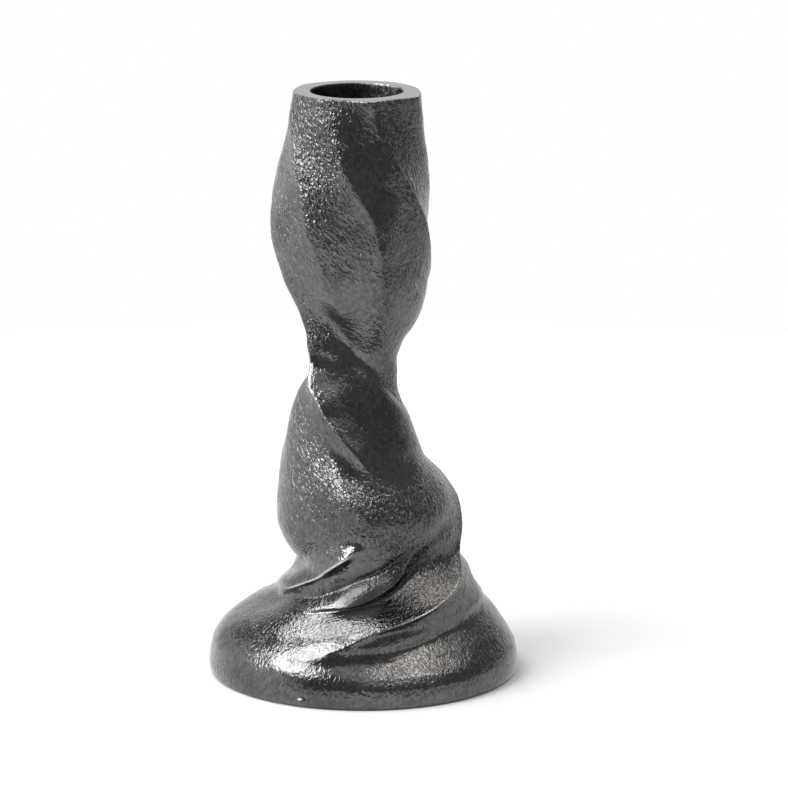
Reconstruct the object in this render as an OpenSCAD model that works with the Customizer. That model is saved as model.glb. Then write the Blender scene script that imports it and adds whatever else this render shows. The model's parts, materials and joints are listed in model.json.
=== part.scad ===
// Taper candle holder: one sand-cast metal column with twisted drapery folds
// that sweep round the stem and spill out over a broad round foot.
// Units are millimetres, +Z is up, the origin is the middle of the underside.

/* [Column] */
// Height from the table to the rim
holder_h = 150; // [120:1:210]
// Radius of the round foot
base_r = 39.5; // [34:0.5:52]
// Height of a full fold above the round column
fold_depth = 3; // [0.5:0.1:4]

/* [Candle socket] */
// Diameter of the candle that the socket takes
candle_d = 22; // [19:0.5:25]
// Play round the candle, measured on the diameter
candle_play = 1.2; // [0.4:0.1:2]
// Depth of the socket below the rim
socket_depth = 25; // [15:1:36]
// Metal left round the socket at the rim
rim_wall = 4; // [3:0.1:6]
// Chamfer that breaks the edge of the socket's mouth
mouth_chamfer = 0.4; // [0.2:0.1:1.2]

/* [Felt underside] */
// Ring of bare metal between the foot's edge and the felt
felt_margin = 6; // [4:0.5:12]
// Thickness of the felt disc
felt_t = 2; // [1.5:0.1:3]
// How far the felt stands below the metal
felt_stand = 0.5; // [0.2:0.1:1]
// Thickness of the adhesive film that holds the felt
film_t = 0.2; // [0.1:0.05:0.4]
// Clearance all round the felt in its recess
felt_clear = 0.4; // [0.2:0.1:1]

/* [Mesh] */
// Columns of facets round the column
columns = 60; // [36:4:60]
// Rows of facets over the lower part, where the folds lie flattest
lower_rows = 40; // [24:2:40]
// Rows of facets over the upper part
upper_rows = 52; // [30:2:52]
// Facets on each round cut and disc
round_facets = 96; // [48:8:128]

/* [Hidden] */

// Overrun of every cut past the face that it opens
overrun = 0.5;

socket_r = (candle_d + candle_play) / 2;
rim_r = socket_r + rim_wall;
body_h = holder_h - felt_stand;
felt_r = base_r - felt_margin;
recess_r = felt_r + felt_clear;
recess_depth = felt_t + film_t - felt_stand;

// Height share at which the rows change from close to open spacing
row_change_share = 0.3;

// The foot: height share, then offset and radius as shares of base_r
foot_shares = [
    [0, 0, 0.992],
    [0.008, 0, 0.998],
    [0.02, 0, 1],
    [0.045, 0, 0.985],
    [0.06, -0.005, 0.96],
    [0.08, 0.002, 0.91],
    [0.105, 0.03, 0.825],
    [0.13, 0.075, 0.71],
    [0.155, 0.085, 0.625],
    [0.18, 0.085, 0.56]
];

// The stem: height share, then offset and radius as shares of rim_r
stem_shares = [
    [0.195, 0.19, 1.32],
    [0.21, 0.125, 1.315],
    [0.25, 0.05, 1.425],
    [0.29, 0.025, 1.43],
    [0.33, -0.05, 1.31],
    [0.35, -0.12, 1.225],
    [0.37, -0.165, 1.155],
    [0.41, -0.19, 1.055],
    [0.45, -0.225, 0.95],
    [0.49, -0.21, 0.815],
    [0.52, -0.135, 0.705],
    [0.545, -0.08, 0.63],
    [0.575, -0.045, 0.71],
    [0.6, -0.01, 0.8],
    [0.64, -0.015, 0.965],
    [0.68, -0.075, 1.1],
    [0.72, -0.14, 1.145],
    [0.76, -0.175, 1.18],
    [0.8, -0.175, 1.185],
    [0.84, -0.165, 1.165],
    [0.88, -0.15, 1.125],
    [0.92, -0.125, 1.075],
    [0.96, -0.115, 1.04],
    [1, -0.09, 1]
];

// Each fold is a ridge or a crease that runs down the column:
// [its spread in degrees on the left, on the right, softness of its crest,
//  stations of height share, angle in degrees and rise as a share of fold_depth]
// Angles turn anticlockwise seen from above, and the front is at 270.

// Folds round the stem, which turn to the right as they come down,
// and the flat at the rim in front
stem_fold_shares = [
    [32, 30, 0.05, [
        [0.57, 257, 0], [0.6, 254, 0.15], [0.65, 250, 0.38], [0.7, 246, 0.56],
        [0.75, 242, 0.66], [0.795, 237, 0.7], [0.84, 231, 0.66], [0.885, 221, 0.58],
        [0.94, 209, 0.44], [1, 195, 0.25]]],
    [30, 36, 0.04, [
        [0.56, 286, 0], [0.6, 288, 0.25], [0.65, 290, 0.6], [0.7, 291, 0.86],
        [0.75, 290, 0.94], [0.8, 286, 0.9], [0.845, 275, 0.8], [0.895, 263, 0.6],
        [0.94, 249, 0.36], [1, 232, 0.1]]],
    [40, 30, 0.05, [
        [0.57, 410, 0], [0.61, 395, 0.2], [0.67, 378, 0.38], [0.72, 358, 0.53],
        [0.77, 341, 0.66], [0.815, 327, 0.7], [0.86, 314, 0.58], [0.9, 302, 0.45],
        [0.945, 291, 0.42], [0.975, 286.5, 0.6], [1, 284, 0.8]]],
    [18, 16, 0.8, [
        [0.91, 268, 0], [0.94, 266, -0.06], [0.97, 264, -0.2], [1, 262, -0.38]]],
    [40, 40, 0.1, [
        [0.57, 455, 0], [0.61, 440, 0.15], [0.67, 420, 0.4], [0.72, 402, 0.5],
        [0.77, 386, 0.53], [0.825, 371, 0.5], [0.88, 357, 0.42], [0.94, 342, 0.45],
        [0.975, 333, 0.7], [1, 327, 0.9]]],
    [40, 40, 0.1, [
        [0.57, 140, 0], [0.61, 124, 0.15], [0.67, 104, 0.4], [0.72, 86, 0.5],
        [0.77, 70, 0.53], [0.825, 56, 0.5], [0.88, 42, 0.36], [0.94, 28, 0.23],
        [1, 12, 0.06]]],
    [40, 40, 0.1, [
        [0.57, 175, 0], [0.61, 160, 0.15], [0.67, 145, 0.4], [0.72, 128, 0.5],
        [0.77, 112, 0.53], [0.825, 99, 0.5], [0.88, 86, 0.36], [0.94, 72, 0.23],
        [1, 58, 0.06]]],
    [40, 40, 0.1, [
        [0.61, 190, 0], [0.67, 175, 0.15], [0.72, 162, 0.33], [0.77, 150, 0.43],
        [0.825, 140, 0.43], [0.88, 128, 0.36], [0.94, 115, 0.23], [1, 102, 0.06]]]
];

// The long fold that starts at the rim, rounds the neck and crosses the front,
// the crease above it where the neck tucks in, the wide flank that it has there,
// and two folds like it at the back
sweep_fold_shares = [
    [42, 46, 0.04, [
        [0.25, 297, 0], [0.275, 295.5, 0.15], [0.3, 294, 0.4], [0.33, 291, 0.75],
        [0.36, 287, 1], [0.385, 281, 1.1], [0.415, 270, 1.08], [0.44, 260, 1.08],
        [0.465, 250, 1.1], [0.49, 240, 1.22], [0.515, 226, 1.38], [0.55, 215, 1.4],
        [0.59, 209, 1.25], [0.64, 202, 1.05], [0.7, 194, 0.75], [0.79, 181, 0.6],
        [0.87, 168, 0.5], [0.94, 155, 0.4], [1, 145, 0.35]]],
    [26, 56, 0.25, [
        [0.44, 362, 0], [0.465, 352, -0.2], [0.485, 338, -0.4], [0.505, 322, -0.5],
        [0.525, 303, -0.5], [0.545, 281, -0.4], [0.56, 266, -0.5], [0.572, 253, -0.65],
        [0.584, 242, -0.75], [0.597, 233, -0.85], [0.615, 226, -0.95], [0.635, 219, -0.8],
        [0.665, 211, -0.55], [0.7, 203, -0.3], [0.74, 195, 0]]],
    [10, 80, 0.03, [
        [0.46, 253, 0], [0.485, 243, 0.15], [0.51, 228, 0.3], [0.535, 219, 0.35],
        [0.555, 214, 0.25], [0.575, 210, 0.1], [0.59, 208, 0]]],
    [46, 60, 0.06, [
        [0.27, 108, 0], [0.31, 104, 0.2], [0.36, 96, 0.5], [0.41, 82, 0.8], [0.46, 66, 0.8],
        [0.51, 50, 0.6], [0.56, 34, 0.3], [0.6, 20, 0]]],
    [46, 40, 0.08, [
        [0.27, 162, 0], [0.32, 158, 0.3], [0.37, 150, 0.5], [0.42, 138, 0.6],
        [0.47, 124, 0.7], [0.51, 112, 0.75], [0.545, 102, 0.7], [0.58, 95, 0.6],
        [0.62, 90, 0.4], [0.67, 84, 0.2], [0.73, 76, 0]]]
];

// Soft swellings beside the long fold, at the right of the cup, on the shoulder
// and at the top of the foot, with the fold that edges the shoulder at the front
shoulder_fold_shares = [
    [24, 26, 0.8, [
        [0.27, 274, 0], [0.295, 272, 0.25], [0.32, 269, 0.5], [0.34, 266, 0.45],
        [0.36, 262, 0.25], [0.38, 257, 0.08], [0.4, 252, 0]]],
    [60, 50, 0.8, [
        [0.57, 5, 0], [0.6, 5, 0.25], [0.64, 5, 0.2], [0.68, 5, 0]]],
    [44, 22, 0.03, [
        [0.21, 284, 0], [0.25, 280, 0.25], [0.275, 276, 0.5], [0.3, 272, 0.7],
        [0.325, 267, 0.7], [0.35, 262, 0.5], [0.38, 256, 0.22], [0.42, 248, 0]]],
    [40, 36, 0.8, [
        [0.22, 288, 0], [0.245, 288, 0.2], [0.27, 288, 0.3], [0.295, 288, 0.25],
        [0.315, 288, 0.08], [0.34, 288, 0]]],
    [30, 30, 0.8, [
        [0.12, 260, 0], [0.14, 262, 0.25], [0.155, 266, 0.35], [0.168, 270, 0.2],
        [0.185, 275, 0]]],
    [34, 38, 0.8, [
        [0.15, 254, 0], [0.168, 258, 0.4], [0.185, 262, 0.85], [0.2, 266, 0.9],
        [0.215, 270, 0.75], [0.23, 273, 0.5], [0.245, 277, 0.2], [0.265, 281, 0]]]
];

// Lips and creases that spill over the foot, which turn back to the left,
// and the hollow in front where the foot's lowest wall stands on its dome
foot_fold_shares = [
    [44, 26, 0.05, [
        [0.12, 182, 0], [0.14, 196, 0.15], [0.155, 206, 0.3], [0.17, 217, 0.5],
        [0.188, 231, 0.7], [0.208, 244, 0.78], [0.226, 254, 0.7], [0.242, 261, 0.5],
        [0.255, 265, 0.2], [0.27, 268, 0]]],
    [30, 24, 0.3, [
        [0.14, 150, 0], [0.16, 168, -0.25], [0.175, 182, -0.6], [0.187, 192, -0.65],
        [0.2, 202, -0.4], [0.215, 216, -0.25], [0.23, 232, -0.2], [0.25, 246, -0.12],
        [0.275, 258, 0]]],
    [38, 26, 0.5, [
        [0.085, 186, 0], [0.105, 188, -0.5], [0.12, 191, -1.1], [0.135, 197, -1],
        [0.15, 207, -0.45], [0.165, 220, 0]]],
    [10, 14, 0.2, [
        [0.14, 218, 0], [0.158, 235, -0.2], [0.169, 243, -0.3], [0.182, 252, -0.32],
        [0.195, 264, -0.32], [0.212, 280, -0.28], [0.23, 292, -0.25], [0.244, 299, -0.15],
        [0.265, 308, 0]]],
    [38, 12, 0.06, [
        [0.125, 225, 0], [0.143, 240, 0.3], [0.15, 254, 0.5], [0.16, 264, 0.6],
        [0.172, 272, 0.65], [0.185, 280, 0.65], [0.2, 288, 0.6], [0.217, 294, 0.45],
        [0.235, 300, 0.25], [0.255, 305, 0]]],
    [24, 26, 0.3, [
        [0.125, 238, 0], [0.14, 252, -0.35], [0.148, 263, -0.5], [0.158, 272, -0.55],
        [0.172, 281, -0.55], [0.187, 290, -0.5], [0.207, 303, -0.4], [0.23, 315, -0.35],
        [0.25, 329, -0.3], [0.28, 345, -0.22], [0.32, 362, 0]]],
    [46, 54, 0.05, [
        [0.065, 248, 0], [0.083, 256, 0.25], [0.095, 260, 0.55], [0.108, 265, 0.9],
        [0.118, 270, 1.15], [0.127, 276, 1.5], [0.135, 283, 1.6], [0.143, 291, 1.55],
        [0.152, 301, 1.4], [0.163, 312, 1.2], [0.178, 325, 1], [0.194, 339, 0.8],
        [0.218, 352, 0.6], [0.245, 361, 0.55], [0.275, 368, 0.5], [0.31, 375, 0.45],
        [0.34, 381, 0.4], [0.375, 389, 0.25], [0.41, 396, 0.1], [0.45, 402, 0]]],
    [8, 9, 0.06, [
        [0.08, 254, 0], [0.1, 262, 0.12], [0.118, 270, 0.18], [0.135, 283, 0.22],
        [0.152, 301, 0.25], [0.178, 325, 0.25], [0.218, 352, 0.25], [0.275, 368, 0.25],
        [0.34, 381, 0.2], [0.4, 394, 0]]],
    [32, 60, 0.5, [
        [0.03, 285, 0], [0.045, 285, -0.25], [0.06, 286, -0.65], [0.07, 288, -0.9],
        [0.08, 292, -1], [0.09, 300, -0.9], [0.1, 314, -0.7], [0.112, 330, -0.45],
        [0.132, 346, 0]]],
    [50, 60, 0.8, [
        [0.075, 302, 0], [0.09, 304, -0.25], [0.103, 308, -0.45], [0.115, 318, -0.4],
        [0.13, 334, -0.2], [0.15, 350, 0]]],
    [40, 14, 0.1, [
        [0.13, -14, 0], [0.16, 0, 0.2], [0.19, 14, 0.35], [0.22, 28, 0.35], [0.25, 40, 0.2],
        [0.28, 50, 0]]],
    [50, 12, 0.05, [
        [0.085, 30, 0], [0.11, 48, 0.3], [0.14, 70, 0.6], [0.175, 94, 0.75],
        [0.21, 114, 0.75], [0.245, 130, 0.6], [0.28, 142, 0.3], [0.31, 150, 0]]],
    [50, 12, 0.06, [
        [0.09, 80, 0], [0.12, 104, 0.25], [0.15, 126, 0.45], [0.18, 144, 0.55],
        [0.21, 157, 0.45], [0.24, 168, 0.25], [0.27, 176, 0]]]
];

fold_shares = concat(stem_fold_shares, sweep_fold_shares, shoulder_fold_shares, foot_fold_shares);

// Lean of the facet columns, so that they run along the sharpest crests:
// height share and angle in degrees
lean_shares = [
    [0, 20], [0.07, 30], [0.085, 40], [0.105, 50], [0.125, 65], [0.145, 84], [0.165, 103],
    [0.185, 124], [0.21, 139], [0.24, 146], [0.27, 152], [0.31, 157], [0.33, 155],
    [0.36, 151], [0.385, 145], [0.415, 134], [0.44, 124], [0.465, 114], [0.49, 104],
    [0.515, 89], [0.55, 77], [0.6, 71], [0.68, 65], [0.755, 61], [0.8, 55], [0.845, 43],
    [0.895, 31], [0.94, 17], [1, 0]
];
// Angle of the first column at the rim, which puts one column on the front crest
first_column = 4;

// Profile stations: height share, offset and radius
profile = concat(
    [for (s = foot_shares) [s[0], s[1] * base_r, s[2] * base_r]],
    [for (s = stem_shares) [s[0], s[1] * rim_r, s[2] * rim_r]]
);
socket_x = profile[len(profile) - 1][1];

// Slope of the curve at station i: the chord of its two neighbours, level at the ends
function slope(t, i, k) = (i <= 0 || i >= len(t) - 1) ? 0
    : (t[i + 1][k] - t[i - 1][k]) / (t[i + 1][0] - t[i - 1][0]);

// Last station at or below the height share q
function station(t, q, i = 0) = (i >= len(t) - 2 || t[i + 1][0] > q) ? i : station(t, q, i + 1);

// Smooth cubic between stations i and i + 1, at the fraction u of the way
function cubic(a, b, ma, mb, u) =
    (2 * u * u * u - 3 * u * u + 1) * a + (u * u * u - 2 * u * u + u) * ma
    + (3 * u * u - 2 * u * u * u) * b + (u * u * u - u * u) * mb;

// Column k of the table t, read at the height share q along a smooth curve
function along(t, q, k) =
    let (
        first = t[0][0],
        last = t[len(t) - 1][0],
        p = min(max(q, first), last),
        i = station(t, p),
        h = t[i + 1][0] - t[i][0],
        u = (p - t[i][0]) / h
    )
    cubic(t[i][k], t[i + 1][k], slope(t, i, k) * h, slope(t, i + 1, k) * h, u);

// Signed angle from b to a, between -180 and 180
function turn(a, b) =
    let (d = (a - b + 180) % 360)
    (d < 0 ? d + 360 : d) - 180;

// Cross-section of a fold: 1 on its crest, falling to 0 at its spread
function crest(x, spread_left, spread_right, soft) =
    let (
        t = x < 0 ? x / spread_left : x / spread_right,
        u = sqrt(t * t + soft * soft) - soft
    )
    u >= 1 ? 0 : (1 - u) * (1 - u);

// The folds that are alive at the height share q, each with its angle and rise there
function live_folds(q) = [
    for (f = fold_shares)
        if (q > f[3][0][0] && q <= f[3][len(f[3]) - 1][0])
            [f[0], f[1], f[2], along(f[3], q, 1), along(f[3], q, 2) * fold_depth]
];

// Sum of the rises of all folds at one angle
function relief(live, angle, i = 0, total = 0) = i >= len(live) ? total
    : relief(live, angle, i + 1,
        total + live[i][4] * crest(turn(angle, live[i][3]), live[i][0], live[i][1], live[i][2]));

// One ring of points at the height share q
function ring(q) =
    let (
        live = live_folds(q),
        offset_x = along(profile, q, 1),
        radius = along(profile, q, 2),
        lean = along(lean_shares, q, 1) + first_column,
        z = felt_stand + q * body_h
    )
    [for (i = [0:columns - 1])
        let (angle = lean + i * 360 / columns, r = radius + relief(live, angle))
        [offset_x + r * cos(angle), r * sin(angle), z]];

// The sculpted column: rings from the underside to the rim, joined by triangles
module sculpted_column() {
    row_shares = concat(
        [for (i = [0:lower_rows - 1]) row_change_share * i / lower_rows],
        [for (i = [0:upper_rows]) row_change_share + (1 - row_change_share) * i / upper_rows]
    );
    rings = [for (q = row_shares) ring(q)];
    points = [for (one = rings) for (p = one) p];
    top = (len(rings) - 1) * columns;
    sides = [
        for (j = [0:len(rings) - 2])
            for (i = [0:columns - 1])
                let (
                    a = j * columns + i,
                    b = j * columns + (i + 1) % columns,
                    c = a + columns,
                    d = b + columns
                )
                each [[a, c, b], [b, c, d]]
    ];
    underside = [for (i = [0:columns - 1]) i];
    rim = [for (i = [columns - 1:-1:0]) top + i];
    polyhedron(points, concat(sides, [underside, rim]), convexity = 10);
}

// The socket with its chamfered mouth, cut from the rim down
module socket_cut() {
    translate([socket_x, 0, holder_h - socket_depth])
        cylinder(h = socket_depth + overrun, r = socket_r, $fn = round_facets);
    translate([socket_x, 0, holder_h - mouth_chamfer])
        cylinder(h = mouth_chamfer + overrun, r1 = socket_r,
            r2 = socket_r + mouth_chamfer + overrun, $fn = round_facets);
}

// The shallow round recess in the underside that takes the felt
module felt_recess_cut() {
    translate([0, 0, felt_stand - overrun])
        cylinder(h = recess_depth + overrun, r = recess_r, $fn = round_facets);
}

module cast_body() {
    color([0.17, 0.17, 0.18])
        difference() {
            sculpted_column();
            socket_cut();
            felt_recess_cut();
        }
}

module felt_pad() {
    color([0.05, 0.05, 0.055])
        cylinder(h = felt_t, r = felt_r, $fn = round_facets);
}

module adhesive_film() {
    color([0.85, 0.82, 0.7])
        translate([0, 0, felt_t])
            cylinder(h = film_t, r = felt_r, $fn = round_facets);
}

cast_body();
felt_pad();
adhesive_film();
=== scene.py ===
"""Taper candle holder: a blackened casting with twisted folds on a broad round foot.

The casting's skin is a surface of two parameters, the height and the angle round the column.
A leaning, swelling column gives its mean radius, and each fold adds a ridge or a crease to it.
Lengths are in metres, +Z is up, and the front of the holder looks along -Y.
"""
import json
import logging
import math
from dataclasses import dataclass
from enum import Enum

import bpy
import numpy as np
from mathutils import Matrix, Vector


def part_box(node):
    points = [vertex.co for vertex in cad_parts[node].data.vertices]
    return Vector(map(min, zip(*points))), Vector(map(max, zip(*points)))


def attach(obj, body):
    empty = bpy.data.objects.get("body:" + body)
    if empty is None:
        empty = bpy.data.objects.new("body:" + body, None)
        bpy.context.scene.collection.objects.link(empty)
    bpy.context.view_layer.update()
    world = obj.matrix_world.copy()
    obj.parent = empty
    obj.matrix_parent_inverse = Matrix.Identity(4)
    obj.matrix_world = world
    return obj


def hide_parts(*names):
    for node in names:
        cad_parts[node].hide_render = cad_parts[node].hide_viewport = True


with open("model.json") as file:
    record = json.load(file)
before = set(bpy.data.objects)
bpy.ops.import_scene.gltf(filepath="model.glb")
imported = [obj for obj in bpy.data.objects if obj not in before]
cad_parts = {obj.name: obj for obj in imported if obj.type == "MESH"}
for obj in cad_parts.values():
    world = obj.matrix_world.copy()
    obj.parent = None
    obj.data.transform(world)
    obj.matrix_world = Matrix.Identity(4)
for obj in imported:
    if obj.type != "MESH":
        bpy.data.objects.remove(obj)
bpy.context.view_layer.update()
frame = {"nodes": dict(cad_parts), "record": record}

log = logging.getLogger("candle_holder")

MM = 0.001

Stations = tuple[tuple[float, ...], ...]
Colour = tuple[float, float, float]
Socket = bpy.types.NodeSocket
Feed = Socket | float | tuple[float, ...]

# Columns of a table of stations, which starts with the height share
ANGLE, RISE = 1, 2
OFFSET, RADIUS = 1, 2


# Curves through stations

def along(stations: Stations, q: np.ndarray, column: int) -> np.ndarray:
    """Read one column of a table of stations along a smooth curve.

    Between two stations the curve is the cubic that leaves and meets them at the slope of the
    chord between their neighbours; past either end it keeps the end's value.

    Args:
        stations: rows that start with the height share, rising or falling.
        q: height shares to read at.
        column: which column to read.

    Returns:
        The values at q, in q's shape.
    """
    table = np.array(sorted(stations), float)
    x, y = table[:, 0], table[:, column]
    slope = np.zeros_like(y)
    slope[1:-1] = (y[2:] - y[:-2]) / (x[2:] - x[:-2])
    p = np.clip(q, x[0], x[-1])
    i = np.clip(np.searchsorted(x, p, side="right") - 1, 0, len(x) - 2)
    h = x[i + 1] - x[i]
    u = (p - x[i]) / h
    return (
        (2 * u**3 - 3 * u**2 + 1) * y[i]
        + (u**3 - 2 * u**2 + u) * h * slope[i]
        + (3 * u**2 - 2 * u**3) * y[i + 1]
        + (u**3 - u**2) * h * slope[i + 1]
    )


def off_crest(path: Stations, q: np.ndarray, angle: np.ndarray) -> np.ndarray:
    """Measure angles from a fold's crest at each height share, from -180 to 180 degrees."""
    return (angle - along(path, q, ANGLE) + 180.0) % 360.0 - 180.0


def as_rows(*values: float) -> np.ndarray:
    """Set values one below the other, shape (values, 1)."""
    return np.array(values)[:, None]


@dataclass(frozen=True)
class Fold:
    """One ridge (rise above 0) or crease (rise below 0) that runs down the column.

    Attributes:
        left: spread of the fold to the left of its crest, in degrees.
        right: spread to the right.
        soft: softness of the crest, 0 for a knife edge.
        path: stations of height share, angle in degrees and rise as a share of a full fold.
    """

    left: float
    right: float
    soft: float
    path: Stations

    def rise(self, q: np.ndarray, angle: np.ndarray) -> np.ndarray:
        """Work out the fold's rise over the grid.

        With t the angle from the crest over the spread on that side, and u = sqrt(t^2 + soft^2)
        - soft, the section is (1 - u)^2 down to 0 at u = 1, times the rise of the path.

        Args:
            q: height shares, one row each, shape (rows, 1).
            angle: angles in degrees, shape (rows, columns).

        Returns:
            The rise as a share of a full fold, shape (rows, columns).
        """
        shares = [station[0] for station in self.path]
        alive = (q > min(shares)) & (q < max(shares))
        height = np.where(alive, along(self.path, q, RISE), 0.0)
        off = off_crest(self.path, q, angle)
        t = np.where(off < 0, off / self.left, off / self.right)
        u = np.sqrt(t * t + self.soft**2) - self.soft
        return height * np.clip(1.0 - u, 0.0, 1.0) ** 2


# The column's profile: height share, offset and radius as shares of the foot's or rim's radius
FOOT: Stations = (
    (0, 0, 0.992), (0.008, 0, 0.998), (0.02, 0, 1), (0.045, 0, 0.985), (0.06, -0.005, 0.96),
    (0.08, 0.002, 0.91), (0.105, 0.03, 0.825), (0.13, 0.075, 0.71), (0.155, 0.085, 0.625),
    (0.18, 0.085, 0.56),
)
STEM: Stations = (
    (0.195, 0.19, 1.32), (0.21, 0.125, 1.315), (0.25, 0.05, 1.425), (0.29, 0.025, 1.43),
    (0.33, -0.05, 1.31), (0.35, -0.12, 1.225), (0.37, -0.165, 1.155), (0.41, -0.19, 1.055),
    (0.45, -0.225, 0.95), (0.49, -0.21, 0.815), (0.52, -0.135, 0.705), (0.545, -0.08, 0.63),
    (0.575, -0.045, 0.71), (0.6, -0.01, 0.8), (0.64, -0.015, 0.965), (0.68, -0.075, 1.1),
    (0.72, -0.14, 1.145), (0.76, -0.175, 1.18), (0.8, -0.175, 1.185), (0.84, -0.165, 1.165),
    (0.88, -0.15, 1.125), (0.92, -0.125, 1.075), (0.96, -0.115, 1.04), (1, -0.09, 1),
)

# The folds that turn up the cup to the rim
STEM_FOLDS = (
    Fold(32, 30, 0.05, (
        (0.57, 257, 0), (0.6, 254, 0.15), (0.65, 250, 0.38), (0.7, 246, 0.56), (0.75, 242, 0.66),
        (0.795, 237, 0.7), (0.84, 231, 0.66), (0.885, 221, 0.58), (0.94, 209, 0.44),
        (1, 195, 0.25))),
    Fold(30, 36, 0.04, (
        (0.56, 286, 0), (0.6, 288, 0.25), (0.65, 290, 0.6), (0.7, 291, 0.86), (0.75, 290, 0.94),
        (0.8, 286, 0.9), (0.845, 275, 0.8), (0.895, 263, 0.6), (0.94, 249, 0.36),
        (1, 232, 0.1))),
    Fold(40, 30, 0.05, (
        (0.57, 410, 0), (0.61, 395, 0.2), (0.67, 378, 0.38), (0.72, 358, 0.53), (0.77, 341, 0.66),
        (0.815, 327, 0.7), (0.86, 314, 0.58), (0.9, 302, 0.45), (0.945, 291, 0.42),
        (0.975, 286.5, 0.6), (1, 284, 0.8))),
    Fold(18, 16, 0.8, (
        (0.91, 268, 0), (0.94, 266, -0.06), (0.97, 264, -0.2), (1, 262, -0.38))),
    Fold(40, 40, 0.1, (
        (0.57, 455, 0), (0.61, 440, 0.15), (0.67, 420, 0.4), (0.72, 402, 0.5), (0.77, 386, 0.53),
        (0.825, 371, 0.5), (0.88, 357, 0.42), (0.94, 342, 0.45), (0.975, 333, 0.7), (1, 327, 0.9))),
    Fold(40, 40, 0.1, (
        (0.57, 140, 0), (0.61, 124, 0.15), (0.67, 104, 0.4), (0.72, 86, 0.5), (0.77, 70, 0.53),
        (0.825, 56, 0.5), (0.88, 42, 0.36), (0.94, 28, 0.23), (1, 12, 0.06))),
    Fold(40, 40, 0.1, (
        (0.57, 175, 0), (0.61, 160, 0.15), (0.67, 145, 0.4), (0.72, 128, 0.5), (0.77, 112, 0.53),
        (0.825, 99, 0.5), (0.88, 86, 0.36), (0.94, 72, 0.23), (1, 58, 0.06))),
    Fold(40, 40, 0.1, (
        (0.61, 190, 0), (0.67, 175, 0.15), (0.72, 162, 0.33), (0.77, 150, 0.43),
        (0.825, 140, 0.43), (0.88, 128, 0.36), (0.94, 115, 0.23), (1, 102, 0.06))),
)

# The folds and the hollow that sweep round the neck
SWEEP_FOLDS = (
    Fold(42, 46, 0.04, (
        (0.25, 297, 0), (0.275, 295.5, 0.15), (0.3, 294, 0.4), (0.33, 291, 0.75), (0.36, 287, 1),
        (0.385, 281, 1.1), (0.415, 270, 1.08), (0.44, 260, 1.08), (0.465, 250, 1.1), (0.49, 240, 1.22),
        (0.515, 226, 1.38), (0.55, 215, 1.4), (0.59, 209, 1.25), (0.64, 202, 1.05),
        (0.7, 194, 0.75), (0.79, 181, 0.6), (0.87, 168, 0.5), (0.94, 155, 0.4), (1, 145, 0.35))),
    Fold(26, 56, 0.25, (
        (0.44, 362, 0), (0.465, 352, -0.2), (0.485, 338, -0.4), (0.505, 322, -0.5),
        (0.525, 303, -0.5), (0.545, 281, -0.4), (0.56, 266, -0.5), (0.572, 253, -0.65),
        (0.584, 242, -0.75), (0.597, 233, -0.85), (0.615, 226, -0.95), (0.635, 219, -0.8),
        (0.665, 211, -0.55), (0.7, 203, -0.3), (0.74, 195, 0))),
    Fold(10, 80, 0.03, (
        (0.46, 253, 0), (0.485, 243, 0.15), (0.51, 228, 0.3), (0.535, 219, 0.35), (0.555, 214, 0.25),
        (0.575, 210, 0.1), (0.59, 208, 0))),
    Fold(46, 60, 0.06, (
        (0.27, 108, 0), (0.31, 104, 0.2), (0.36, 96, 0.5), (0.41, 82, 0.8), (0.46, 66, 0.8),
        (0.51, 50, 0.6), (0.56, 34, 0.3), (0.6, 20, 0))),
    Fold(46, 40, 0.08, (
        (0.27, 162, 0), (0.32, 158, 0.3), (0.37, 150, 0.5), (0.42, 138, 0.6), (0.47, 124, 0.7),
        (0.51, 112, 0.75), (0.545, 102, 0.7), (0.58, 95, 0.6), (0.62, 90, 0.4), (0.67, 84, 0.2),
        (0.73, 76, 0))),
)

# The soft swellings of the shoulder and the cup's foot
SHOULDER_FOLDS = (
    Fold(24, 26, 0.8, (
        (0.27, 274, 0), (0.295, 272, 0.25), (0.32, 269, 0.5), (0.34, 266, 0.45), (0.36, 262, 0.25),
        (0.38, 257, 0.08), (0.4, 252, 0))),
    Fold(60, 50, 0.8, (
        (0.57, 5, 0), (0.6, 5, 0.25), (0.64, 5, 0.2), (0.68, 5, 0))),
    Fold(44, 22, 0.03, (
        (0.21, 284, 0), (0.25, 280, 0.25), (0.275, 276, 0.5), (0.3, 272, 0.7), (0.325, 267, 0.7),
        (0.35, 262, 0.5), (0.38, 256, 0.22), (0.42, 248, 0))),
    Fold(40, 36, 0.8, (
        (0.22, 288, 0), (0.245, 288, 0.2), (0.27, 288, 0.3), (0.295, 288, 0.25),
        (0.315, 288, 0.08), (0.34, 288, 0))),
    Fold(30, 30, 0.8, (
        (0.12, 260, 0), (0.14, 262, 0.25), (0.155, 266, 0.35), (0.168, 270, 0.2), (0.185, 275, 0))),
    Fold(34, 38, 0.8, (
        (0.15, 254, 0), (0.168, 258, 0.4), (0.185, 262, 0.85), (0.2, 266, 0.9), (0.215, 270, 0.75),
        (0.23, 273, 0.5), (0.245, 277, 0.2), (0.265, 281, 0))),
)

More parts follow.
